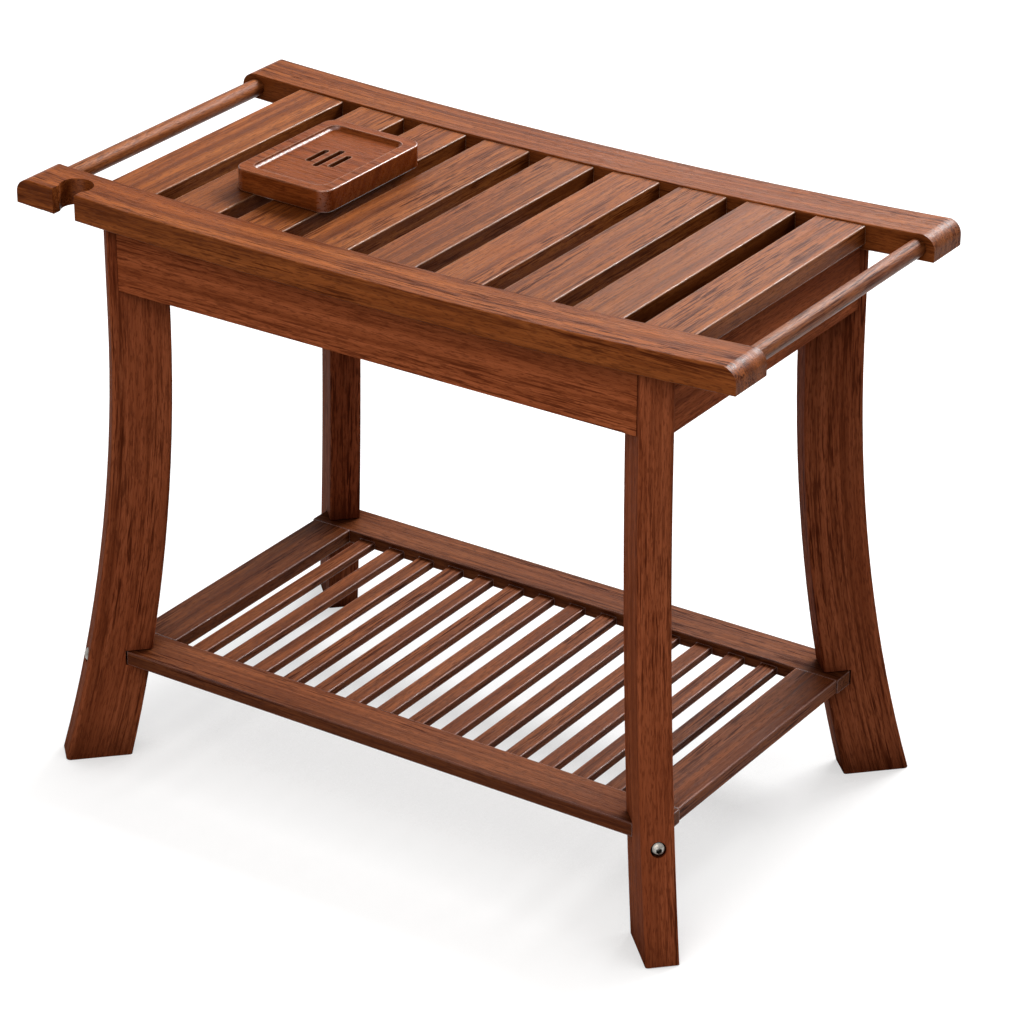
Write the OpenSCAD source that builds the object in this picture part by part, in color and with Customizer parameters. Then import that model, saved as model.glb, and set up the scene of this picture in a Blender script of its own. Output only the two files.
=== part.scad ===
// Slatted teak shower bench: a dished seat between two rails on four splayed
// corner legs, a towel bar at each end, a keyhole holder in the front rail,
// a slatted shelf housed in the legs and a loose soap dish on the seat.
// Millimetres. +X runs along the bench, +Y to the back, +Z up, with the
// origin on the floor under the middle of the bench.

/* [Seat rails] */
// Length of the two seat rails
bench_l = 600; // [560:1:660]
// Depth over the outer faces of the rails
seat_w = 307; // [290:1:340]
// Height of the rail tops at their ends
seat_h = 455; // [430:1:500]
// How far the rails dip in the middle
dish = 8; // [5:0.5:12]
// Width of a rail, seen from above
rail_w = 39.3; // [36:0.1:46]
// Thickness of a rail
rail_t = 19.8; // [18:0.1:22]
// Radius over the top of each rail end
rail_end_r = 10.5; // [6:0.5:14]
// Rounding of the long edges of the rails
rail_arris = 1.2; // [0.6:0.1:2]

/* [Seat slats] */
// Number of seat slats
slat_count = 9; // [7:1:10]
// Width of a seat slat
slat_w = 40.2; // [34:0.1:42]
// Thickness of a seat slat
slat_t = 13.8; // [12:0.1:14.5]
// Step down from the rail tops to the slats
slat_step = 1.2; // [0.6:0.1:1.8]
// How far the outermost slats pass the end aprons
slat_overhang = 8.8; // [4:0.1:12]
// Rounding of the slat edges
slat_arris = 0.9; // [0.6:0.1:2]
// Length of the tenon on each slat end
slat_tenon_l = 9; // [6:0.5:14]
// Width of that tenon
slat_tenon_w = 26; // [18:0.5:28]
// Thickness of that tenon
slat_tenon_t = 7; // [5:0.1:8]

/* [Towel bars] */
// Diameter of a towel bar
bar_d = 13.3; // [12:0.1:14]
// From the rail end to the middle of the bar
bar_inset = 13.2; // [11:0.1:20]
// Depth of the bar's socket in each rail
bar_socket = 14; // [8:0.5:20]

/* [Aprons] */
// How far the long aprons stand in from the rail faces
apron_setback = 11.1; // [8:0.1:14]
// How far the end aprons stand in from the rail ends
apron_end_inset = 63.6; // [58:0.1:75]
// Thickness of the aprons
apron_t = 20; // [16:0.5:22]
// Depth of an apron below the rail at mid length
apron_h = 45.5; // [38:0.5:60]
// Number of dowels between a long apron and its rail
dowel_count = 4; // [3:1:6]
// Diameter of those dowels
dowel_d = 8; // [6:0.5:10]
// Length of those dowels
dowel_l = 24; // [18:1:28]

/* [Legs] */
// Thickness of a leg
leg_t = 24.2; // [20:0.1:28]
// Width of a leg at its top
leg_top_w = 43.7; // [40:0.1:50]
// Width of a leg at the floor
leg_foot_w = 50.3; // [46:0.1:58]
// How far a leg's outer edge lies inside the meeting of the apron faces
leg_setback = 5.5; // [3:0.1:8]
// How far the outer edge of a leg splays out at the floor
leg_splay = 49.1; // [35:0.1:56]
// Height at which the splay starts
splay_h = 352; // [300:1:370]
// Rounding of a leg's outer edges
leg_outer_r = 2.4; // [1:0.1:5]
// Rounding of a leg's inner edges
leg_inner_r = 2; // [1:0.1:4]

/* [Corner blocks] */
// Thickness of a corner block
block_t = 20; // [16:0.5:24]
// Height of a corner block
block_h = 38; // [32:0.5:42]
// Spacing of the two bolts in a block
block_bolt_gap = 20; // [16:0.5:22]
// Diameter of the bolts that hold a leg to its block
block_bolt_d = 6; // [5:0.1:7]
// Length of those bolts under the head
block_bolt_l = 40; // [34:1:44]

/* [Shelf] */
// Height of the shelf's underside
shelf_z = 77.4; // [60:0.1:110]
// Thickness of the shelf frame
shelf_t = 11; // [10.5:0.1:13]
// How far the shelf frame reaches past the apron faces
shelf_reach = 4.2; // [1:0.1:6]
// Width of the shelf's frame boards
shelf_board_w = 35; // [34:0.5:42]
// Rounding of the shelf frame's edges
shelf_arris = 1; // [0.5:0.1:2]
// How far the end boards stand in from the ends of the long boards
shelf_end_step = 1; // [0.4:0.1:3]
// Number of shelf slats
shelf_slat_count = 14; // [10:1:15]
// Width of a shelf slat
shelf_slat_w = 13.5; // [11:0.1:16]
// Thickness of a shelf slat
shelf_slat_t = 6.4; // [5:0.1:7.5]
// Rounding of a shelf slat's edges
shelf_slat_arris = 0.8; // [0.4:0.1:1.5]
// Gap between the left end board and the first shelf slat
shelf_first_gap = 10.65; // [6:0.05:18]
// Gap between the last shelf slat and the right end board
shelf_last_gap = 15.85; // [6:0.05:18]
// How far the shelf slats are let into the long boards
shelf_notch = 9; // [6:0.5:14]
// Thickness of the tenons on the shelf's end boards
shelf_tenon_t = 4; // [3:0.1:5]
// Shoulder beside those tenons
shelf_tenon_shoulder = 5; // [3:0.5:8]

/* [Shelf bolts] */
// Diameter of the shelf bolts
shelf_bolt_d = 6; // [5:0.1:6.4]
// Length of those bolts under the head
shelf_bolt_l = 42; // [38:1:46]
// Diameter of the bolt head
head_d = 10.5; // [9:0.1:12]
// Height of the bolt head
head_h = 3.3; // [2.5:0.1:4]
// Width across the flats of the hexagon socket
socket_af = 4; // [3:0.1:4.5]
// Depth of the hexagon socket
socket_h = 2.2; // [1.5:0.1:2.4]
// Outer diameter of the threaded inserts
insert_d = 8; // [7.6:0.1:8.4]
// Length of the threaded inserts
insert_l = 14; // [10:1:18]

/* [Holder] */
// Diameter of the keyhole holder in the front rail
holder_d = 25; // [22:0.1:26]
// Width of the holder's mouth
mouth_w = 20; // [16:0.1:20.5]
// Rounding where the mouth opens into the hole
mouth_r = 3; // [1.5:0.1:3.5]
// From the left end of the rail to the middle of the holder
holder_inset = 43; // [38:0.5:46]
// From the front face of the rail to the middle of the holder
holder_depth = 15.6; // [14:0.1:18]

/* [Soap dish] */
// Width of the soap dish along the bench
dish_w = 82.4; // [76:0.1:90]
// Length of the soap dish across the bench
dish_l = 119.5; // [100:0.5:140]
// Thickness of the soap dish
dish_t = 17; // [14:0.5:20]
// Radius of the soap dish's corners
dish_corner_r = 10; // [8.5:0.5:14]
// Rounding of its upper and lower edges
dish_arris = 1; // [0.6:0.1:1.5]
// Depth of the soap dish's tray
tray_depth = 3; // [2:0.1:5.5]
// Rim beside the tray
tray_rim_side = 9; // [6:0.1:11]
// Rim at the ends of the tray
tray_rim_end = 8.7; // [7:0.1:14]
// Radius of the tray's corners
tray_corner_r = 7.5; // [6:0.1:10]
// Width of a drain slot
drain_w = 4.8; // [4:0.1:6]
// Length of the middle drain slot
drain_l = 36; // [30:0.5:50]
// How much shorter each outer drain slot is
drain_step = 10.5; // [0:0.5:16]
// Spacing of the drain slots
drain_pitch = 10; // [9:0.1:14]
// Centre of the soap dish along the bench
dish_x = -126; // [-150:0.1:-100]
// Centre of the soap dish across the bench
dish_y = -12.5; // [-30:0.5:20]

/* [Fits] */
// Clearance round a tenon, a dowel or a bar in its hole
fit_gap = 0.1; // [0.05:0.01:0.2]
// Open joint between an apron end and the side of a leg
apron_gap = 0.4; // [0.2:0.05:0.6]
// Gap above the shelf in a leg's housing
housing_gap = 0.9; // [0.5:0.1:1.5]
// Gap between a shelf corner and the back of the housing
housing_back_gap = 1.2; // [0.6:0.1:2]
// Gap round a bolt in its hole
bolt_gap = 0.3; // [0.2:0.05:0.5]

/* [Hidden] */
SLATS = [for (i = [1:slat_count]) str("seat_slat_", i)];
SHELF_SLATS = [for (i = [1:shelf_slat_count]) str("shelf_slat_", i < 10 ? "0" : "", i)];

$fn = 64;
fine = 1440;  // facets of the long, flat arcs
big = 1000;   // reaches past the whole bench
eps = 0.01;   // overshoot of a cut past the face it leaves by

rail_colour = [0.56, 0.31, 0.19];
slat_colour = [0.60, 0.35, 0.23];
apron_colour = [0.44, 0.21, 0.13];
leg_colour = [0.42, 0.20, 0.12];
shelf_colour = [0.45, 0.24, 0.16];
steel_colour = [0.62, 0.60, 0.57];
brass_colour = [0.78, 0.62, 0.32];

// The rails and the seat follow one arc, hollow side up, round an axis along Y.
arc_r = (pow(bench_l / 2, 2) + pow(dish, 2)) / (2 * dish);
arc_z = seat_h - dish + arc_r;
arc_half = asin(bench_l / 2 / arc_r) + 0.2;
function arc_height(x, drop = 0) = arc_z - sqrt(pow(arc_r + drop, 2) - x * x);

rail_in = seat_w / 2 - rail_w;
rail_y = seat_w / 2 - rail_w / 2;
apron_y = seat_w / 2 - apron_setback;
apron_x = bench_l / 2 - apron_end_inset;
apron_z = seat_h - dish - rail_t - apron_h;
bar_x = bench_l / 2 - bar_inset;
bar_z = arc_height(bar_x, rail_t / 2);

// Each leg stands in a vertical plane at 45 degrees. Those planes meet the
// middle line of the bench at x = leg_line, left and right. Along a plane, a
// place is given by its distance from there.
leg_line = apron_x - apron_y;
function reach(y) = y * sqrt(2);
leg_out = reach(apron_y) - leg_setback;
leg_in = leg_out - leg_top_w;
inner_splay = leg_splay - (leg_foot_w - leg_top_w);
function splay_r(splay) = (splay_h * splay_h + splay * splay) / (2 * splay);
outer_r = splay_r(leg_splay);
inner_r = splay_r(inner_splay);
function edge_at(edge, r, z) = edge + r - sqrt(r * r - pow(splay_h - z, 2));
foot_ease_gap = 0.6;  // how far inside the rounding the ease under a foot starts

slat_end_x = apron_x + slat_overhang - slat_w / 2;
slat_pitch = 2 * slat_end_x / (slat_count - 1);
function slat_x(i) = (i - (slat_count + 1) / 2) * slat_pitch;
function slat_angle(x) = asin(x / arc_r);

dowel_span = 2 * (leg_line + apron_y - apron_t - leg_t) - dowel_d;
function dowel_x(i) = dowel_span * ((i - 0.5) / dowel_count - 0.5);

block_z = apron_z + 3;
apron_corner = reach(apron_y - apron_t);
block_in = leg_in - block_t;
block_bolt_z = [block_z + (block_h - block_bolt_gap) / 2, block_z + (block_h + block_bolt_gap) / 2];

shelf_y = apron_y + shelf_reach;
shelf_x = apron_x + shelf_reach;
shelf_in_y = shelf_y - shelf_board_w;
shelf_end_x = shelf_x - shelf_end_step;
shelf_in_x = shelf_end_x - shelf_board_w;
shelf_clip = reach(shelf_y) - leg_t / 2;
housing_back = shelf_clip + housing_back_gap;
shelf_top = shelf_z + shelf_t;
bolt_z = shelf_z + shelf_t / 2;
shelf_slat_first = -shelf_in_x + shelf_first_gap + shelf_slat_w / 2;
shelf_slat_last = shelf_in_x - shelf_last_gap - shelf_slat_w / 2;
shelf_pitch = (shelf_slat_last - shelf_slat_first) / (shelf_slat_count - 1);
function shelf_slat_x(i) = shelf_slat_first + (i - 1) * shelf_pitch;
head_seat = edge_at(leg_out, outer_r, bolt_z + head_d / 2 + 1) - 0.4;
shelf_hole = shelf_bolt_l - (head_seat - shelf_clip) + 2;

// The tenons of the end boards stop short of the bolts and their inserts.
tenon_stop = shelf_clip - max(shelf_hole + shelf_bolt_d / 2, insert_l + insert_d / 2);
shelf_tenon_l = (tenon_stop - 1.5) / sqrt(2) - shelf_in_y;

holder_x = -bench_l / 2 + holder_inset;
holder_y = -seat_w / 2 + holder_depth;

// The soap dish is flat and the seat is hollow, so it rests on two slat edges.
function slat_top(x) = arc_height(x, slat_step);
dish_left = dish_x - dish_w / 2;
under_dish = [for (i = [1:slat_count]) for (s = [-1, 1]) slat_x(i) + s * (slat_w / 2 - slat_arris)];
dish_touch = [for (x = under_dish) if (x > dish_left && x < dish_left + dish_w) x];
touch_a = max(dish_left, min(dish_touch));
touch_b = max(dish_touch);
dish_tilt = atan2(slat_top(touch_b) - slat_top(touch_a), touch_b - touch_a);
dish_clear = 0.3;

// ---- Shapes that repeat ----

// A rectangle centred on the origin with true round corners
module rounded(size, r) {
    square([size[0], size[1] - 2 * r], center = true);
    square([size[0] - 2 * r, size[1]], center = true);
    for (x = [-1, 1], y = [-1, 1])
        translate([x * (size[0] / 2 - r), y * (size[1] / 2 - r)]) circle(r);
}

// What rounding off a corner takes away: the corner between the directions a
// and b, outside a circle of radius r round its centre
module corner_waste(centre, r, a, b) {
    mid = (a + b) / 2;
    translate(centre) difference() {
        polygon([[0, 0], 2 * r * [cos(a), sin(a)], 3 * r * [cos(mid), sin(mid)], 2 * r * [cos(b), sin(b)]]);
        circle(r);
    }
}

// Lays a drawing of X and Z upright, its thickness centred on y = 0
module upright(thickness) {
    rotate([90, 0, 0]) linear_extrude(thickness, center = true) children();
}

// A cylinder along +X from the origin
module rod_x(d, l) {
    rotate([0, 90, 0]) cylinder(d = d, h = l);
}

// Everything above the underside of the rails, from y0 to y1
module above_underside(y0, y1) {
    translate([0, y1, arc_z]) rotate([90, 0, 0])
        cylinder(r = arc_r + rail_t, h = y1 - y0, $fn = fine);
}

// Moves a child to the rail top at x, square to the arc there
module on_arc(x) {
    translate([0, 0, arc_z]) rotate([0, -slat_angle(x), 0]) translate([0, 0, -arc_r]) children();
}

// Turns a child made along +X from a leg's plane towards one corner
module at_corner(sx, sy) {
    translate([sx * leg_line, 0, 0]) rotate([0, 0, atan2(sy, sx)]) children();
}

module at_corners() {
    for (sx = [-1, 1], sy = [-1, 1]) at_corner(sx, sy) children();
}

// ---- Seat ----

module rail_bar() {
    translate([0, 0, arc_z]) rotate([90, 90 + arc_half, 0])
        rotate_extrude(angle = 2 * arc_half, $fn = fine)
            translate([arc_r + rail_t / 2, 0]) rounded([rail_t, rail_w], rail_arris);
}

module rail_outline() {
    over = rail_end_r + rail_arris;
    top = bench_l / 2 - rail_end_r;
    foot = bench_l / 2 - rail_arris;
    foot_drop = rail_t - rail_arris;
    difference() {
        translate([-bench_l / 2, seat_h - dish - rail_t - over])
            square([bench_l, dish + rail_t + 2 * over]);
        for (s = [0, 1]) mirror([s, 0]) {
            corner_waste([top, arc_height(top, rail_end_r)], rail_end_r, 0, 90 + slat_angle(top));
            corner_waste([foot, arc_height(foot, foot_drop)], rail_arris, 0, -90 + slat_angle(foot));
        }
    }
}

module rail(side) {
    difference() {
        translate([0, side * rail_y, 0]) intersection() {
            rail_bar();
            upright(rail_w + 2) rail_outline();
        }
        for (i = [1:slat_count]) slat_tenon(i, -side, fit_gap);
        for (s = [-1, 1]) towel_bar(s, fit_gap / 2);
        apron_dowel_row(side, fit_gap / 2);
    }
}

// The tenon of slat i, with its round-ended section grown by gap, or its mortise
module slat_tenon(i, side, gap = 0) {
    size = [slat_tenon_w + 2 * gap, slat_tenon_t + 2 * gap];
    x = slat_x(i);
    on_arc(x) translate([0, -side * (rail_in + (slat_tenon_l + gap) / 2 - 0.5), -slat_step - slat_t / 2])
        upright(slat_tenon_l + gap + 1) rounded(size, size[1] / 2 - eps);
}

module seat_slat(i) {
    color(slat_colour) {
        on_arc(slat_x(i)) translate([0, 0, -slat_step - slat_t / 2])
            upright(2 * rail_in) rounded([slat_w, slat_t], slat_arris);
        for (s = [-1, 1]) slat_tenon(i, s);
    }
}

// The round hole of the holder, its mouth and the rounded lips between them
module holder_outline() {
    r = holder_d / 2;
    lip_x = mouth_w / 2 + mouth_r;
    lip_y = -sqrt(pow(r + mouth_r, 2) - lip_x * lip_x);
    circle(r);
    translate([-mouth_w / 2, -2 * holder_depth]) square([mouth_w, 2 * holder_depth]);
    for (s = [0, 1]) mirror([s, 0]) difference() {
        polygon([[0, 0], [lip_x, lip_y], [mouth_w / 2 - 1, lip_y]]);
        translate([lip_x, lip_y]) circle(mouth_r);
    }
}

module front_rail() {
    color(rail_colour) difference() {
        rail(-1);
        translate([holder_x, holder_y, seat_h - dish - 2 * rail_t])
            linear_extrude(3 * rail_t + dish) holder_outline();
    }
}

module rear_rail() {
    color(rail_colour) rail(1);
}

module towel_bar(side, gap = 0) {
    half = rail_in + bar_socket + gap;
    translate([side * bar_x, half, bar_z]) rotate([90, 0, 0])
        cylinder(d = bar_d + 2 * gap, h = 2 * half);
}

// ---- Aprons ----

// A board whose ends are mitred to the sides of the legs, seen from above:
// half is where its outer face would meet its neighbour's
module apron_outline(half, outer) {
    cut = (leg_t / 2 + apron_gap) * sqrt(2);
    long = half - cut;
    short = long - apron_t;
    polygon([[-long, outer], [long, outer], [short, outer - apron_t], [-short, outer - apron_t]]);
}

module apron_dowel_row(side, gap = 0) {
    for (i = [1:dowel_count])
        translate([dowel_x(i), side * (apron_y - apron_t / 2),
                   arc_height(dowel_x(i), rail_t) - dowel_l / 2 - gap])
            cylinder(d = dowel_d + 2 * gap, h = dowel_l + 2 * gap);
}

module long_apron(side) {
    color(apron_colour) difference() {
        mirror([0, side < 0 ? 1 : 0, 0]) translate([0, 0, apron_z])
            linear_extrude(apron_h + dish) apron_outline(apron_x, apron_y);
        above_underside(-seat_w, seat_w);
        apron_dowel_row(side, fit_gap / 2);
    }
}

// An end apron carries the outermost slat, between the rails
module end_apron(side) {
    last = side * slat_x(slat_count);
    color(apron_colour) difference() {
        rotate([0, 0, side * -90]) translate([0, 0, apron_z])
            linear_extrude(apron_h + dish + rail_t) apron_outline(apron_y, apron_x);
        above_underside(rail_in, seat_w);
        above_underside(-seat_w, -rail_in);
        on_arc(last) translate([-big / 2, -big / 2, -slat_step - slat_t]) cube([big, big, big]);
    }
}

module apron_dowels() {
    color(slat_colour) for (side = [-1, 1]) apron_dowel_row(side);
}

// ---- Legs ----

// The section of a leg across its width, rounded on the edge at r0 only
module leg_section(r0, r1, r) {
    inward = sign(r1 - r0);
    difference() {
        translate([min(r0, r1), -leg_t / 2]) square([abs(r1 - r0), leg_t]);
        for (s = [0, 1]) mirror([0, s])
            corner_waste([r0 + inward * r, leg_t / 2 - r], r, 90 + inward * 90, 90);
    }
}

// A band round the centre of one splay, from the height of that centre down to
// below the floor: r is the radius of its rounded edge
module splay_band(edge, r, width, edge_r) {
    sweep = asin(splay_h / r) + 1.5;
    translate([edge + r, 0, splay_h]) rotate([90, 0, 0]) rotate([0, 0, 180])
        rotate_extrude(angle = sweep, $fn = fine) leg_section(r, r + width, edge_r);
}

module leg_board() {
    depth = leg_foot_w + leg_splay;
    intersection() {
        splay_band(leg_out, outer_r, depth, leg_outer_r);
        splay_band(leg_in, inner_r, -depth, leg_inner_r);
    }
    translate([0, 0, splay_h]) linear_extrude(seat_h - splay_h) intersection() {
        leg_section(leg_out, leg_out - leg_top_w, leg_outer_r);
        leg_section(leg_in, leg_in + leg_top_w, leg_inner_r);
    }
}

// The housing that a corner of the shelf slides into
module housing() {
    translate([leg_in - 2 * leg_foot_w, -leg_t, shelf_z])
        cube([housing_back - leg_in + 2 * leg_foot_w, 2 * leg_t, shelf_t + housing_gap]);
}

// What eases the outer lower edge of a foot: a cut square to the splay, just
// deeper than the rounding of the leg's edges
module foot_ease() {
    x = edge_at(leg_out, outer_r, 0) - leg_outer_r - foot_ease_gap;
    translate([x, 0, 0]) rotate([0, -atan2(splay_h, leg_out + outer_r - x), 0])
        translate([-1, -big / 2, -big]) cube([big, big, big]);
}

module leg(sx, sy) {
    color(leg_colour) difference() {
        at_corner(sx, sy) difference() {
            leg_board();
            housing();
            translate([head_seat, 0, bolt_z]) rod_x(head_d + 1, leg_splay);
            translate([leg_in, 0, bolt_z]) rod_x(shelf_bolt_d + 2 * bolt_gap, leg_top_w + leg_splay);
            for (z = block_bolt_z) translate([leg_in, 0, z]) {
                translate([-eps, 0, 0]) rod_x(insert_d, insert_l + eps);
                rod_x(block_bolt_d + 2 * bolt_gap, block_bolt_l - block_t + 2);
            }
            translate([-big / 2, -big / 2, -big]) cube([big, big, big]);
            foot_ease();
        }
        above_underside(-seat_w, seat_w);
    }
}

module corner_block(sx, sy) {
    wide = apron_corner - block_in;
    narrow = apron_corner - leg_in;
    color(apron_colour) at_corner(sx, sy) difference() {
        translate([0, 0, block_z]) linear_extrude(block_h)
            polygon([[block_in, -wide], [leg_in, -narrow], [leg_in, narrow], [block_in, wide]]);
        for (z = block_bolt_z)
            translate([block_in - 1, 0, z]) rod_x(block_bolt_d + 2 * bolt_gap, block_t + 2);
    }
}

// ---- Fasteners ----

// A button-head bolt along +X, its head's seat at x = 0 and its head towards
// -X or, turned round, towards +X
module bolt(d, l) {
    crown = (pow(head_d / 2, 2) + pow(head_h, 2)) / (2 * head_h);
    difference() {
        intersection() {
            translate([-head_h, 0, 0]) rod_x(head_d, head_h);
            translate([crown - head_h - 0.4, 0, 0]) sphere(crown);
        }
        translate([-head_h - 1, 0, 0]) rotate([0, 90, 0])
            cylinder(d = socket_af / cos(30), h = socket_h + 1, $fn = 6);
    }
    rod_x(d, l);
}

module insert(d, l) {
    rotate([0, 90, 0]) difference() {
        cylinder(d = insert_d, h = l);
        translate([0, 0, -1]) cylinder(d = d + fit_gap, h = l + 2);
    }
}

module block_bolts() {
    color(steel_colour) at_corners() for (z = block_bolt_z)
        translate([block_in, 0, z]) bolt(block_bolt_d, block_bolt_l);
}

module leg_inserts() {
    color(brass_colour) at_corners() for (z = block_bolt_z)
        translate([leg_in, 0, z]) insert(block_bolt_d, insert_l);
}

module shelf_bolts() {
    color(steel_colour) at_corners()
        translate([head_seat, 0, bolt_z]) rotate([0, 0, 180]) bolt(shelf_bolt_d, shelf_bolt_l);
}

module shelf_inserts() {
    color(brass_colour) at_corners()
        translate([shelf_clip - insert_l, 0, bolt_z]) insert(shelf_bolt_d, insert_l);
}

// ---- Shelf ----

module shelf_tenon(sx, sy, gap = 0) {
    size = [shelf_board_w - 2 * shelf_tenon_shoulder + 2 * gap, shelf_tenon_t + 2 * gap];
    translate([sx * (shelf_in_x + shelf_board_w / 2), sy * (shelf_in_y + (shelf_tenon_l + gap) / 2 - 0.5), bolt_z])
        upright(shelf_tenon_l + gap + 1) square(size, center = true);
}

module shelf_long_board(side) {
    color(shelf_colour) difference() {
        translate([0, side * (shelf_y - shelf_board_w / 2), bolt_z]) rotate([90, 0, 90])
            linear_extrude(2 * shelf_x, center = true) rounded([shelf_board_w, shelf_t], shelf_arris);
        at_corners() {
            translate([shelf_clip, -big / 2, 0]) cube([big, big, big]);
            translate([shelf_clip - insert_l, 0, bolt_z]) rod_x(insert_d, insert_l + 1);
            translate([shelf_clip - shelf_hole, 0, bolt_z]) rod_x(shelf_bolt_d + bolt_gap, shelf_hole);
        }
        for (i = [1:shelf_slat_count]) translate([shelf_slat_x(i), 0, shelf_z])
            cube([shelf_slat_w + 2 * fit_gap, 2 * (shelf_in_y + shelf_notch), 2 * shelf_slat_t], center = true);
        for (sx = [-1, 1]) shelf_tenon(sx, side, fit_gap);
    }
}

module shelf_end_board(side) {
    color(shelf_colour) {
        translate([side * (shelf_in_x + shelf_board_w / 2), 0, bolt_z])
            upright(2 * shelf_in_y) rounded([shelf_board_w, shelf_t], shelf_arris);
        for (sy = [-1, 1]) shelf_tenon(side, sy);
    }
}

module shelf_slat(i) {
    color(shelf_colour) translate([shelf_slat_x(i), 0, shelf_z + shelf_slat_t / 2])
        upright(2 * (shelf_in_y + shelf_notch - fit_gap))
            rounded([shelf_slat_w, shelf_slat_t], shelf_slat_arris);
}

// ---- Soap dish ----

// A flat slab with round corners whose upper and lower edges are eased
module eased_slab(size, r, t, ease) {
    translate([0, 0, ease]) linear_extrude(t - 2 * ease) rounded(size, r);
    for (x = [-1, 1], y = [-1, 1])
        translate([x * (size[0] / 2 - r), y * (size[1] / 2 - r), 0])
            rotate_extrude() {
                square([r - ease, t]);
                for (z = [ease, t - ease]) translate([r - ease, z]) circle(ease);
            }
    linear_extrude(t) {
        square([size[0] - 2 * r, size[1] - 2 * ease], center = true);
        square([size[0] - 2 * ease, size[1] - 2 * r], center = true);
    }
    for (s = [-1, 1], z = [ease, t - ease]) {
        translate([s * (size[0] / 2 - ease), 0, z]) rotate([90, 0, 0])
            cylinder(r = ease, h = size[1] - 2 * r, center = true);
        translate([0, s * (size[1] / 2 - ease), z]) rotate([0, 90, 0])
            cylinder(r = ease, h = size[0] - 2 * r, center = true);
    }
}

module soap_dish() {
    tray = [dish_w - 2 * tray_rim_side, dish_l - 2 * tray_rim_end];
    floor_z = dish_t - tray_depth;
    color(rail_colour)
        translate([touch_a, dish_y, slat_top(touch_a) + dish_clear]) rotate([0, -dish_tilt, 0])
            translate([dish_x - touch_a, 0, 0]) difference() {
                eased_slab([dish_w, dish_l], dish_corner_r, dish_t, dish_arris);
                translate([0, 0, floor_z]) eased_slab(tray, tray_corner_r, 3 * tray_depth, tray_depth);
                for (i = [-1, 0, 1]) translate([i * drain_pitch, 0, -1]) linear_extrude(dish_t)
                    rounded([drain_w, drain_l - drain_step * abs(i)], drain_w / 2 - eps);
            }
}

front_rail();
rear_rail();
color(rail_colour) towel_bar(-1);  // left_towel_bar
color(rail_colour) towel_bar(1);  // right_towel_bar
long_apron(-1);  // front_apron
long_apron(1);  // rear_apron
end_apron(-1);  // left_apron
end_apron(1);  // right_apron
apron_dowels();
leg(-1, -1);  // front_left_leg
leg(1, -1);  // front_right_leg
leg(-1, 1);  // rear_left_leg
leg(1, 1);  // rear_right_leg
corner_block(-1, -1);  // front_left_block
corner_block(1, -1);  // front_right_block
corner_block(-1, 1);  // rear_left_block
corner_block(1, 1);  // rear_right_block
block_bolts();
leg_inserts();
shelf_long_board(-1);  // shelf_front_board
shelf_long_board(1);  // shelf_rear_board
shelf_end_board(-1);  // shelf_left_board
shelf_end_board(1);  // shelf_right_board
shelf_bolts();
shelf_inserts();
soap_dish();
for (i = [1:slat_count]) seat_slat(i);
for (i = [1:shelf_slat_count]) shelf_slat(i);
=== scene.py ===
"""Slatted teak shower bench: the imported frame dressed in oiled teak.

Metres. +X runs along the bench, +Y to the back, +Z up, floor at z = 0.
"""

import math
import random

import bpy
from mathutils import Matrix, Vector


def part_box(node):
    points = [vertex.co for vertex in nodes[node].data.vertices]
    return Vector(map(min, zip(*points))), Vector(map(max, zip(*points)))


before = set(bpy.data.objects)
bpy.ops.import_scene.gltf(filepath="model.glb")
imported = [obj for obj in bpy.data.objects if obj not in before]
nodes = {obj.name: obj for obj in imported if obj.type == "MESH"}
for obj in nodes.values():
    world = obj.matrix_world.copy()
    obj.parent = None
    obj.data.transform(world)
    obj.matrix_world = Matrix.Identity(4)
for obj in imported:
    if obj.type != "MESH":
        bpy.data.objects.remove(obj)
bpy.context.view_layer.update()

X, Y, Z = Vector((1, 0, 0)), Vector((0, 1, 0)), Vector((0, 0, 1))
WHITE = (1, 1, 1)


def solid(colour):
    return (*colour, 1)


# ---- Camera, at the photograph's angle ----

AZIMUTH, ELEVATION, ROLL = 33.7117, 26.3684, 0.1105      # degrees, from straight in front
MIDDLE = Vector((0, 0, 0.23))                            # of the bench
MIDDLE_SEEN = Vector((-0.0209347, 0.020598, -2.859677))  # its place in the camera's own axes
FOCAL_PIXELS, PICTURE_PIXELS = 3902.153, 1024
SENSOR_WIDTH = 36                                        # millimetres
FARTHEST = 50                                            # metres that the camera still sees


def make_camera():
    azimuth, elevation, roll = (math.radians(angle) for angle in (AZIMUTH, ELEVATION, ROLL))
    back = Vector((math.sin(azimuth) * math.cos(elevation),
                   -math.cos(azimuth) * math.cos(elevation),
                   math.sin(elevation)))
    level = Vector((math.cos(azimuth), math.sin(azimuth), 0))
    upright = back.cross(level)
    right = level * math.cos(roll) + upright * math.sin(roll)
    up = upright * math.cos(roll) - level * math.sin(roll)
    turn = Matrix((right, up, back)).transposed()
    place = turn.to_4x4()
    place.translation = MIDDLE - turn @ MIDDLE_SEEN
    data = bpy.data.cameras.new("camera")
    data.sensor_width = SENSOR_WIDTH
    data.lens = FOCAL_PIXELS / PICTURE_PIXELS * SENSOR_WIDTH
    data.clip_end = FARTHEST
    camera = bpy.data.objects.new("camera", data)
    camera.matrix_world = place
    bpy.context.scene.collection.objects.link(camera)
    bpy.context.scene.camera = camera


# ---- Building materials from nodes ----

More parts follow.
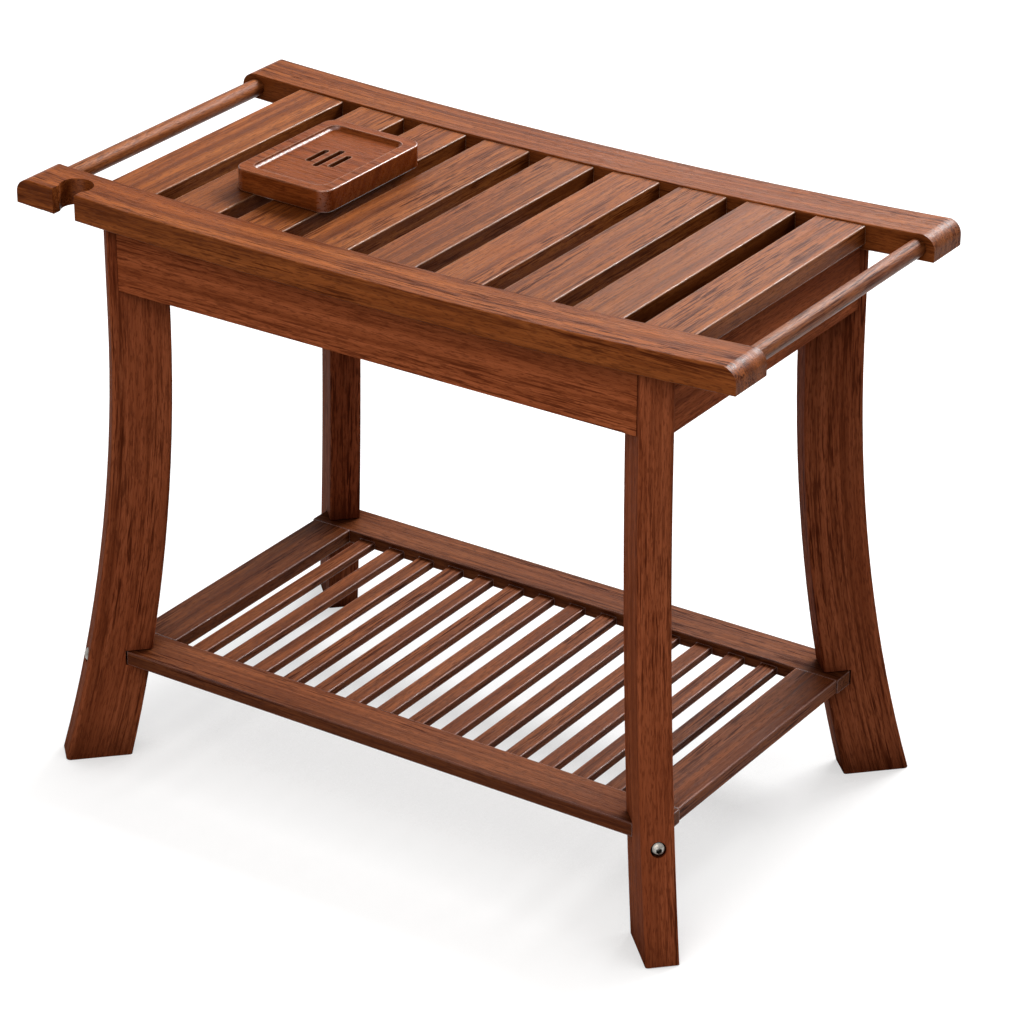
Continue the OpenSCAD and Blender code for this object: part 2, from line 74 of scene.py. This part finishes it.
class Shader:
    """Adds nodes to a material or a world, each with its inputs and settings, and links them."""

    def __init__(self, owner):
        owner.use_nodes = True
        self.owner = owner
        self.tree = owner.node_tree
        self.tree.nodes.clear()

    def add(self, kind, inputs=None, **settings):
        node = self.tree.nodes.new("ShaderNode" + kind)
        for key, value in settings.items():
            setattr(node, key, value)
        for key, value in (inputs or {}).items():
            if isinstance(value, bpy.types.NodeSocket):
                self.tree.links.new(value, node.inputs[key])
            else:
                node.inputs[key].default_value = value
        return node.outputs

    def math(self, operation, a, b=0.0):
        return self.add("Math", {0: a, 1: b}, operation=operation)[0]

    def vector(self, operation, a, b=(0, 0, 0)):
        out = self.add("VectorMath", {0: a, 1: b}, operation=operation)
        return out["Value"] if operation in ("DOT_PRODUCT", "LENGTH") else out["Vector"]

    def noise(self, at, stretch, detail, roughness=0.5):
        """A noise, 0 to 1, whose features are 1 / stretch metres along each axis."""
        scaled = self.vector("MULTIPLY", at, stretch)
        return self.add("TexNoise", {"Vector": scaled, "Scale": 1.0, "Detail": detail,
                                     "Roughness": roughness})

    def span(self, value, low, high, to_low=0.0, to_high=1.0):
        return self.add("MapRange", {"Value": value, "From Min": low, "From Max": high,
                                     "To Min": to_low, "To Max": to_high})["Result"]

    def open_air(self, distance, samples):
        """1 on an open face, and less in a crevice that is closer than the distance."""
        return self.add("AmbientOcclusion", {"Distance": distance}, samples=samples)["AO"]

    def ramp(self, value, stops):
        out = self.add("ValToRGB", {"Fac": value})
        ramp = out[0].node.color_ramp
        while len(ramp.elements) < len(stops):
            ramp.elements.new(0.5)
        for element, (position, colour) in zip(ramp.elements, stops):
            element.position = position
            element.color = solid(colour)
        return out["Color"]

    def mix(self, factor, a, b, blend="MIX"):
        """Of a Mix node's sockets, 6 and 7 are the colours and 2 is the coloured result."""
        inputs = {0: factor, 6: a, 7: b}
        return self.add("Mix", inputs, data_type="RGBA", blend_type=blend)[2]

    def board(self, centre, along, across):
        """The place on a board: along its grain, across it and through it."""
        at = self.vector("SUBTRACT", self.add("TexCoord")["Object"], centre)
        axes = (along, across, along.cross(across))
        parts = [self.vector("DOT_PRODUCT", at, tuple(axis)) for axis in axes]
        return self.add("CombineXYZ", dict(enumerate(parts)))["Vector"]

    def finish(self, surface, output="OutputMaterial"):
        self.add(output, {"Surface": surface})
        return self.owner


# ---- Teak ----

# A noise's features to the metre, along a board, across it and through it, then its detail and
# its roughness
SWAY = ((4, 20, 20), 2)
STREAKS = ((7, 190, 190), 3, 0.6)
LINES = ((24, 560, 560), 2, 0.75)
GATHERS = ((4, 50, 50), 1)
FLECKS = ((150, 900, 900), 1)
PATCHES = ((5, 24, 24), 2)
PORES = ((110, 1700, 1700), 0)

# The level of its noise at which a mark starts, and the level at which it is full
GATHER_LEVELS = (0.40, 0.60)
FLECK_LEVELS = (0.54, 0.66)
PATCH_LEVELS = (0.36, 0.66)
PORE_LEVELS = (0.62, 0.76)
PALE_LEVELS = (0.50, 0.36)
VEIN_LEVELS = (0.51, 0.60)

RING_DETAIL, RING_ROUGHNESS = 4.0, 0.65
GRAIN_SHARE, LINES_SHARE = 0.70, 0.30  # of the colour: rings and streaks together, and lines
LEAST_GATHERED = 0.35                  # of the lines, where they thin out
PALE_STRENGTH = 0.6                    # of a pale line, beside a dark one
VEIN_SHINE = (1.15, 0.35)              # times the board's shine, between the dark lines and in them
ROUGH_LEVELS, ROUGH_SWING = (0.34, 0.66), 0.12  # lines, and how far they sway the roughness

# Painted shade in crevices. Of open air there is 1 on an open face, and less near another board
CREVICE = 0.04                         # how near another board counts
AIR_SAMPLES = 4
PAINTED_SHADE_SHARE = (0.25, 0.95, 0.95, 0.0)    # from little to much open air, the share of the painted shade
DULLING = (0.45, 0.95)                 # from no shine to the board's own

# Rubbed edges, paler partly from wear and partly from a painted highlight, then ends and hollows. A
# turn is the cosine between two directions
EDGE_RADIUS, EDGE_SAMPLES = 0.0014, 4
EDGE_TURN = (0.99, 0.90)               # off the face, at which an edge starts and is full
EDGE_BREAKS = (0.3, 0.7, 0.5, 1.0)     # from dark to pale streaks, how far the edge is rubbed and given its painted highlight
EDGE_SHINE, EDGE_POLISH = 0.9, 0.2     # added shine, and roughness taken away
END_STARTS, END_STOPS = (0.10, 0.45), (0.97, 0.75)  # turns to the grain: polished in between

STREAK_HEIGHT, LINE_HEIGHT, DOT_DEPTH = 0.4, 0.6, 0.4
BUMP_HEIGHT = 0.0004
IOR = 1.5

FIRST_SEED = 7
SHIFT = 20  # metres at most, so that each board is cut from another part of the noise

SPLAY_TOP = 0.352   # the height at which a leg starts to curve outward
LEG_SPLAY = 0.0491  # how far it has curved at the floor


def splay_of_leg(s, at, centre_z):
    """How far a leg's arc has swept outward at a height, as a vector across the board."""
    height = s.math("ADD", s.vector("DOT_PRODUCT", at, (1, 0, 0)), centre_z)
    below = s.math("MAXIMUM", s.math("SUBTRACT", SPLAY_TOP, height), 0.0)
    sweep = s.math("MULTIPLY", s.math("MULTIPLY", below, below), LEG_SPLAY / SPLAY_TOP ** 2)
    return s.add("CombineXYZ", {"Y": sweep})["Vector"]


def growth_rings(s, at, shifted, look, rng):
    """Rings round a pith that lies beside the board."""
    aside = rng.choice((-1, 1)) * rng.uniform(*look["pith_side"])
    pith = (0, aside, -rng.uniform(*look["pith_below"]))
    sway = s.vector("SUBTRACT", s.noise(shifted, *SWAY)["Color"], (0.5, 0.5, 0.5))
    swayed = s.vector("ADD", at, s.vector("MULTIPLY", sway, (0, look["sway"], look["sway"])))
    from_pith = s.vector("MULTIPLY", s.vector("SUBTRACT", swayed, pith), (0, 1, 1))
    ring = s.math("MULTIPLY", s.vector("LENGTH", from_pith), look["rings"])
    return s.add("TexNoise", {"W": ring, "Scale": 1.0, "Detail": RING_DETAIL,
                              "Roughness": RING_ROUGHNESS}, noise_dimensions="1D")[0]


def wood(name, centre, along, across, look, rng):
    """Oiled teak, with its growth rings, fibres and pores running along one board."""
    s = Shader(bpy.data.materials.new(name))
    at = s.board(tuple(centre), along, across)
    if look["follows_splay"]:
        at = s.vector("SUBTRACT", at, splay_of_leg(s, at, centre.z))
    shifted = s.vector("ADD", at, tuple(rng.uniform(-SHIFT, SHIFT) for _ in range(3)))
    rings = growth_rings(s, at, shifted, look, rng)
    streaks, lines, gathers, flecks, patches, pores = (
        s.noise(shifted, *shape)[0]
        for shape in (STREAKS, LINES, GATHERS, FLECKS, PATCHES, PORES))

    # The grain, paler and darker round the board's own colour, in broad patches
    grain = s.math("MULTIPLY", rings, look["ring_share"])
    grain = s.math("ADD", grain, s.math("MULTIPLY", streaks, GRAIN_SHARE - look["ring_share"]))
    grain = s.math("ADD", grain, s.math("MULTIPLY", lines, LINES_SHARE))
    grain = s.span(grain, 0.5 - look["contrast"], 0.5 + look["contrast"])
    colour = s.ramp(grain, ((0.0, look["dark"]), (0.5, look["mid"]), (1.0, look["light"])))
    colour = s.mix(s.span(patches, *PATCH_LEVELS), colour, solid(look["patch"]), "MULTIPLY")

    # Pale and dark lines that gather here and there, then flecks and pores
    gathered = s.span(gathers, *GATHER_LEVELS, LEAST_GATHERED, 1.0)
    pale = s.math("MULTIPLY", s.span(lines, *PALE_LEVELS), gathered)
    pale = s.math("MULTIPLY", pale, PALE_STRENGTH * look["veins"])
    colour = s.mix(pale, colour, solid(look["light"]))
    veins = s.math("MULTIPLY", s.span(lines, *VEIN_LEVELS), gathered)
    colour = s.mix(s.math("MULTIPLY", veins, look["veins"]), colour, solid(look["vein"]))
    dots = s.math("MAXIMUM", s.span(flecks, *FLECK_LEVELS), s.span(pores, *PORE_LEVELS))
    colour = s.mix(s.math("MULTIPLY", dots, look["flecks"]), colour, solid(look["vein"]))

    # Painted shade: crevices are darker, and duller
    open_air = s.open_air(CREVICE, AIR_SAMPLES)
    colour = s.mix(s.span(open_air, *PAINTED_SHADE_SHARE), colour, solid(look["painted_shade"]))
    shine = s.span(open_air, *DULLING, 0.0, look["shine"])
    shine = s.math("MULTIPLY", shine, s.span(veins, 0.0, 1.0, *VEIN_SHINE))
    rough = s.span(lines, *ROUGH_LEVELS, look["rough"] + ROUGH_SWING, look["rough"] - ROUGH_SWING)

    # Edges are rubbed and burnished, and paler: partly wear, partly a painted highlight along the
    # arris
    if look["wear"]:
        sharp = s.add("NewGeometry")["Normal"]
        rounded = s.add("Bevel", {"Radius": EDGE_RADIUS}, samples=EDGE_SAMPLES)["Normal"]
        edge = s.span(s.vector("DOT_PRODUCT", rounded, sharp), *EDGE_TURN)
        rubbed_and_highlighted = s.math("MULTIPLY", edge, s.span(streaks, *EDGE_BREAKS))
        rubbed_and_highlighted = s.math("MULTIPLY", rubbed_and_highlighted, look["wear"])
        colour = s.mix(rubbed_and_highlighted, colour, solid(look["rubbed_and_highlighted"]))
        shine = s.math("ADD", shine, s.math("MULTIPLY", rubbed_and_highlighted, EDGE_SHINE))
        rough = s.math("SUBTRACT", rough, s.math("MULTIPLY", rubbed_and_highlighted, EDGE_POLISH))

    # Rounded ends and hollows are polished, where they face partly along the board
    if look["end_shine"]:
        facing = s.add("NewGeometry")["Normal"]
        turned = s.math("ABSOLUTE", s.vector("DOT_PRODUCT", facing, tuple(along)))
        ends = s.math("MULTIPLY", s.span(turned, *END_STARTS), s.span(turned, *END_STOPS))
        shine = s.math("ADD", shine, s.math("MULTIPLY", ends, look["end_shine"]))

    height = s.math("ADD", s.math("MULTIPLY", streaks, STREAK_HEIGHT),
                    s.math("MULTIPLY", lines, LINE_HEIGHT))
    height = s.math("SUBTRACT", height, s.math("MULTIPLY", dots, DOT_DEPTH))
    normal = s.add("Bump", {"Strength": look["relief"], "Distance": BUMP_HEIGHT,
                            "Height": height})[0]
    return s.finish(s.add("BsdfPrincipled", {"Base Color": colour, "Roughness": rough,
                                             "Normal": normal, "IOR": IOR,
                                             "Specular IOR Level": shine})[0])


TEAK = {
    "patch": (0.90, 0.82, 0.78), "contrast": 0.13, "veins": 0.8, "flecks": 0.5,
    "shine": 0.02, "rough": 0.42, "relief": 0.5, "wear": 0.0, "end_shine": 0.0,
    "rings": 170, "ring_share": 0.45, "sway": 0.012,
    "pith_side": (0.10, 0.18), "pith_below": (0.06, 0.12), "follows_splay": False,
}


def teak(mean, **changes):
    return {**TEAK, "mean": mean, **changes}


RAIL = teak((0.312, 0.087, 0.021), shine=0.04, rough=0.38, contrast=0.062, veins=1.0,
            end_shine=0.18, rings=110, pith_below=(-0.01, 0.02))
SLAT = teak((0.280, 0.081, 0.018), shine=0.07, rough=0.45, wear=0.9, contrast=0.057, veins=1.0)
# Paler than the rails, as painted light that makes up for the shade under the seat
APRON = teak((0.388, 0.103, 0.037), rough=0.65)
LEG = teak((0.318, 0.086, 0.034), rough=0.68, contrast=0.095, veins=1.0, sway=0.003,
           pith_side=(0.2, 0.3), pith_below=(0.15, 0.2), follows_splay=True)
SHELF = teak((0.188, 0.056, 0.019), shine=0.06, rough=0.50, wear=0.8, contrast=0.06, veins=1.0)
DISH = teak((0.275, 0.069, 0.015), shine=0.04, rough=0.34, wear=0.8, contrast=0.13, veins=0.5,
            end_shine=1.0)
ROD = teak((0.285, 0.088, 0.025), shine=0.11, rough=0.42, contrast=0.08, veins=1.0)

# How much paler or darker than its kind a board is: partly each board's own tone, and partly
# painted shade and light, darker on the rear boards and the left shelf board and paler on the front
# right leg and the right shelf board
SHADE = {
    "rear_rail": 0.85, "rear_apron": 0.78, "seat_slat_1": 1.06, "seat_slat_4": 0.92,
    "seat_slat_5": 0.87, "seat_slat_6": 1.05, "seat_slat_7": 0.93, "seat_slat_8": 0.90,
    "front_right_leg": 1.16, "rear_right_leg": 0.88, "rear_left_leg": 0.80,
    "shelf_front_board": 1.06, "shelf_left_board": 0.82, "shelf_right_board": 1.15,
    "shelf_rear_board": 0.88,
}


# Times a board's mean colour: redder in its dark streaks, yellower in its pale ones, and much
# darker for painted shade in crevices
SHADES = {
    "dark": (0.70, 0.63, 0.57), "mid": (1.17, 1.17, 1.14), "light": (1.55, 1.66, 1.75),
    # The palest, for rubbed edges, is partly wear and partly a painted highlight
    "vein": (0.33, 0.25, 0.23), "painted_shade": (0.18, 0.12, 0.10), "rubbed_and_highlighted": (2.30, 4.80, 13.0),
}


def shades_of(mean):
    return {shade: tuple(c * f for c, f in zip(mean, factors))
            for shade, factors in SHADES.items()}


def grain_of(name):
    """The direction of a node's grain, the direction across its face, and its look."""
    left, rear = "left" in name, "rear" in name
    if name.endswith("_rail"):
        return X, Y, RAIL
    if name.startswith("seat_slat"):
        return Y, X, SLAT
    if name.endswith("towel_bar"):
        return Y, X, ROD
    if name == "soap_dish":
        return X, Y, DISH
    if name in ("front_apron", "rear_apron"):
        return X, Z, APRON
    if name.endswith("_apron"):
        return Y, Z, APRON
    if name.endswith("_leg"):
        return Z, Vector((-1 if left else 1, 1 if rear else -1, 0)).normalized(), LEG
    if name.endswith("_block"):
        return Vector((1 if left == rear else -1, 1, 0)).normalized(), Z, APRON
    if name in ("shelf_front_board", "shelf_rear_board"):
        return X, Y, SHELF
    if name.startswith("shelf_"):
        return Y, X, SHELF
    return Z, X, RAIL  # the dowels, which stand upright


# ---- Metal ----

# Smudges as a noise, the colour where it is dull, the colour where it is bright, and the
# roughness from the one to the other
STEEL = (((400, 400, 400), 3), (0.20, 0.19, 0.17), (0.40, 0.38, 0.35), (0.2, 0.35))
BRASS = (((300, 300, 300), 2), (0.42, 0.28, 0.09), (0.64, 0.46, 0.18), (0.3, 0.45))
SMUDGE_LEVELS = (0.3, 0.7)
# Painted shade on metal, in its sockets and seams
SEAM = 0.004  # how near another face counts
SEAM_PAINTED_SHADE_SHARE = (0.4, 0.9, 0.95, 0.0)
SEAM_SHADE_COLOUR = (0.01, 0.01, 0.01)


def metal(name, smudge, dull, bright, rough, painted_seam_shade=False):
    """A smudged metal, darkened nearly to black by painted shade where another face is close, if
    asked for.
    """
    s = Shader(bpy.data.materials.new(name))
    smudges = s.noise(s.add("TexCoord")["Object"], *smudge)[0]
    colour = s.ramp(smudges, tuple(zip(SMUDGE_LEVELS, (dull, bright))))
    if painted_seam_shade:
        # Painted shade, near black where another face is close
        dark = s.span(s.open_air(SEAM, AIR_SAMPLES), *SEAM_PAINTED_SHADE_SHARE)
        colour = s.mix(dark, colour, solid(SEAM_SHADE_COLOUR))
    rough = s.span(smudges, *SMUDGE_LEVELS, *rough)
    return s.finish(s.add("BsdfPrincipled", {"Base Color": colour, "Roughness": rough,
                                             "Metallic": 1.0})[0])


def dress():
    bolt = metal("bolt_steel", *STEEL, painted_seam_shade=True)
    insert = metal("insert_brass", *BRASS)
    for number, name in enumerate(sorted(nodes)):
        if name.endswith("bolts"):
            material = bolt
        elif name.endswith("inserts"):
            material = insert
        else:
            along, across, look = grain_of(name)
            mean = [value * SHADE.get(name, 1.0) for value in look["mean"]]
            low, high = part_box(name)
            rng = random.Random(FIRST_SEED + number)
            look = {**look, **shades_of(mean)}
            material = wood("teak." + name, (low + high) / 2, along, across, look, rng)
        slots = nodes[name].data.materials
        if slots:
            slots[0] = material
        else:
            slots.append(material)


# ---- Floor, background and lamps ----

FLOOR_HALF = 6
FLOOR_GREY = (0.35, 0.35, 0.35)
SHADOW_REACH, SHADOW_SAMPLES = 0.35, 8
SHADOW_LEVELS = (0.45, 1.0)  # how open the air is under the bench, and clear of it
FLOOR_GLOW = (0.58, 0.97)    # the floor's glow in those two places, lower under the bench as a painted shadow
ROOM_LIGHT = 0.03            # what the background adds to the lamps

WARM = (1.0, 0.93, 0.87)
# Place, the point it is turned to, width and height, watts, colour
LAMPS = {
    "back": ((0.1, 1.8, 1.7), (0, 0, 0.4), (1.2, 0.7), 54, WHITE),
    "right_back": ((0.75, 1.8, 1.7), (0, 0, 0.4), (0.8, 0.7), 18, WHITE),
    "low_back": ((-0.3, 1.15, 0.85), (0, 0, 0.42), (0.6, 0.4), 1.2, WHITE),
    "left_back": ((-0.85, 1.9, 1.05), (0, 0, 0.4), (0.9, 0.5), 3.2, WHITE),
    "overhead": ((-0.2, 0.1, 2.7), (0, 0, 0.3), (2.4, 2.0), 2, WHITE),
    "key": ((0.9, -1.7, 2.3), (0, 0, 0.3), (1.6, 1.4), 19, WARM),
    "front": ((0.3, -2.4, 1.2), (0, 0, 0.3), (2.0, 1.4), 14, WARM),
}


def white_to_the_eye(s, lit, seen):
    """What lights the object is lit; what the eye, a reflection or glass sees is seen."""
    path = s.add("LightPath")
    direct = s.math("MAXIMUM", path["Is Camera Ray"], path["Is Glossy Ray"])
    direct = s.math("MAXIMUM", direct, path["Is Transmission Ray"])
    return s.add("MixShader", {0: direct, 1: lit, 2: seen})[0]


def make_floor():
    """A floor that glows nearly white to the eye, with a painted shadow near the bench."""
    mesh = bpy.data.meshes.new("floor")
    corners = [(-FLOOR_HALF, -FLOOR_HALF, 0), (FLOOR_HALF, -FLOOR_HALF, 0),
               (FLOOR_HALF, FLOOR_HALF, 0), (-FLOOR_HALF, FLOOR_HALF, 0)]
    mesh.from_pydata(corners, [], [(0, 1, 2, 3)])
    floor = bpy.data.objects.new("floor", mesh)
    bpy.context.scene.collection.objects.link(floor)
    s = Shader(bpy.data.materials.new("floor"))
    paint = s.add("BsdfDiffuse", {"Color": solid(FLOOR_GREY)})[0]
    open_air = s.open_air(SHADOW_REACH, SHADOW_SAMPLES)
    # Painted shadow: the glow dims where the bench closes in the air above the floor
    strength = s.span(open_air, *SHADOW_LEVELS, *FLOOR_GLOW)
    glow = s.add("Emission", {"Color": solid(WHITE), "Strength": strength})[0]
    both = s.add("AddShader", {0: paint, 1: glow})[0]
    mesh.materials.append(s.finish(white_to_the_eye(s, paint, both)))


def make_world():
    world = bpy.data.worlds.new("studio")
    bpy.context.scene.world = world
    s = Shader(world)
    lit = s.add("Background", {"Color": solid(WHITE), "Strength": ROOM_LIGHT})[0]
    seen = s.add("Background", {"Color": solid(WHITE), "Strength": 1.0})[0]
    s.finish(white_to_the_eye(s, lit, seen), "OutputWorld")


def make_lights():
    for name, (place, target, size, watts, colour) in LAMPS.items():
        data = bpy.data.lights.new(name, "AREA")
        data.shape = "RECTANGLE"
        data.size, data.size_y = size
        data.energy = watts
        data.color = colour
        lamp = bpy.data.objects.new(name, data)
        lamp.location = place
        toward = Vector(target) - Vector(place)
        lamp.rotation_euler = toward.to_track_quat("-Z", "Y").to_euler()
        bpy.context.scene.collection.objects.link(lamp)


make_camera()
dress()
make_floor()
make_world()
make_lights()

scene = bpy.context.scene
scene.view_settings.view_transform = "Standard"
